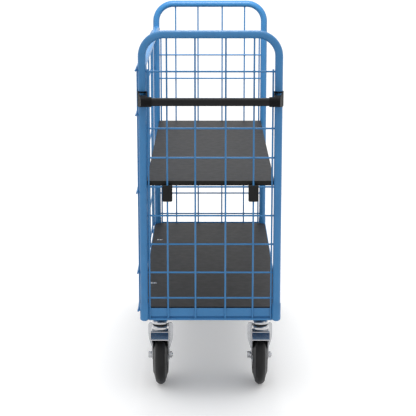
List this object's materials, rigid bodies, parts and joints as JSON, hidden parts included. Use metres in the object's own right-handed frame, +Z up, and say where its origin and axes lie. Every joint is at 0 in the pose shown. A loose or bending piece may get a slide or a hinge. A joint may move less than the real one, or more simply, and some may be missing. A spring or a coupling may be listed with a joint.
{
  "type": "shelf trolley",
  "caption": "Tube and wire mesh trolley with a board deck, a lift-out shelf, a push handle, swivel castors in front and fixed castors at the rear.",
  "frame": {"origin": "on the floor, at the middle of the outer box", "axes": "+Z up; +Y along the length, from the push handle to the far end; +X towards the open long side"},
  "size_m": [0.4624, 1.3044, 1.2113],
  "materials": {
    "blue_coat": "blue powder coat, fine orange peel, satin gloss",
    "board": "anthracite film-faced board, matt, with a fine grain",
    "black_steel": "black powder coat, satin",
    "black_plastic": "black moulded plastic with a fine texture",
    "zinc_steel": "bright zinc plating on pressed steel",
    "tyre_rubber": "black solid rubber, matt tread and satin flanks",
    "bush_plastic": "black plain plastic"
  },
  "bodies": {
    "frame": {"front_rail": "blue_coat", "rear_rail": "blue_coat", "right_rail": "blue_coat", "left_rail": "blue_coat", "front_castor_beam": "blue_coat", "rear_castor_beam": "blue_coat", "front_left_socket": "blue_coat", "front_right_socket": "blue_coat", "rear_left_socket": "blue_coat", "rear_right_socket": "blue_coat", "front_hoop": "blue_coat", "rear_hoop": "blue_coat", "front_mesh": "blue_coat", "rear_mesh": "blue_coat", "side_top_rail": "blue_coat", "side_mesh": "blue_coat", "bottom_deck": "board", "front_deck_fixing": "zinc_steel", "rear_deck_fixing": "zinc_steel", "handle_bar": "black_steel", "right_handle_bracket": "black_plastic", "left_handle_bracket": "black_plastic", "right_handle_bolt": "zinc_steel", "left_handle_bolt": "zinc_steel", "front_left_swivel_head": "zinc_steel", "front_left_kingpin": "zinc_steel", "front_right_swivel_head": "zinc_steel", "front_right_kingpin": "zinc_steel", "rear_left_fork": "zinc_steel", "rear_left_crown_bolt": "zinc_steel", "rear_left_axle_bolt": "zinc_steel", "rear_left_axle_nut": "zinc_steel", "rear_right_fork": "zinc_steel", "rear_right_crown_bolt": "zinc_steel", "rear_right_axle_bolt": "zinc_steel", "rear_right_axle_nut": "zinc_steel"},
    "shelf": {"shelf_board": "board", "front_left_shelf_hook": "black_steel", "front_right_shelf_hook": "black_steel", "rear_left_shelf_hook": "black_steel", "rear_right_shelf_hook": "black_steel"},
    "left_swivel": {"front_left_fork": "zinc_steel", "front_left_axle_bolt": "zinc_steel", "front_left_axle_nut": "zinc_steel"},
    "right_swivel": {"front_right_fork": "zinc_steel", "front_right_axle_bolt": "zinc_steel", "front_right_axle_nut": "zinc_steel"},
    "front_left_wheel": {"front_left_tyre": "tyre_rubber", "front_left_rim": "zinc_steel", "front_left_bush": "bush_plastic"},
    "front_right_wheel": {"front_right_tyre": "tyre_rubber", "front_right_rim": "zinc_steel", "front_right_bush": "bush_plastic"},
    "rear_left_wheel": {"rear_left_tyre": "tyre_rubber", "rear_left_rim": "zinc_steel", "rear_left_bush": "bush_plastic"},
    "rear_right_wheel": {"rear_right_tyre": "tyre_rubber", "rear_right_rim": "zinc_steel", "rear_right_bush": "bush_plastic"}
  },
  "joints": [
    {"name": "shelf_lift", "type": "slide", "parent": "frame", "child": "shelf", "axis": [0, 0, 1], "range_m": [0, 0.06]},
    {"name": "left_swivel_turn", "type": "hinge", "parent": "frame", "child": "left_swivel", "pos_m": [-0.1635, -0.43175, 0.237], "axis": [0, 0, 1], "continuous": true},
    {"name": "right_swivel_turn", "type": "hinge", "parent": "frame", "child": "right_swivel", "pos_m": [0.1705, -0.43175, 0.237], "axis": [0, 0, 1], "continuous": true},
    {"name": "front_left_wheel_roll", "type": "hinge", "parent": "left_swivel", "child": "front_left_wheel", "pos_m": [-0.1635, -0.38175, 0.1], "axis": [1, 0, 0], "continuous": true},
    {"name": "front_right_wheel_roll", "type": "hinge", "parent": "right_swivel", "child": "front_right_wheel", "pos_m": [0.1705, -0.38175, 0.1], "axis": [1, 0, 0], "continuous": true},
    {"name": "rear_left_wheel_roll", "type": "hinge", "parent": "frame", "child": "rear_left_wheel", "pos_m": [-0.1635, 0.50825, 0.1], "axis": [1, 0, 0], "continuous": true},
    {"name": "rear_right_wheel_roll", "type": "hinge", "parent": "frame", "child": "rear_right_wheel", "pos_m": [0.1705, 0.50825, 0.1], "axis": [1, 0, 0], "continuous": true}
  ]
}
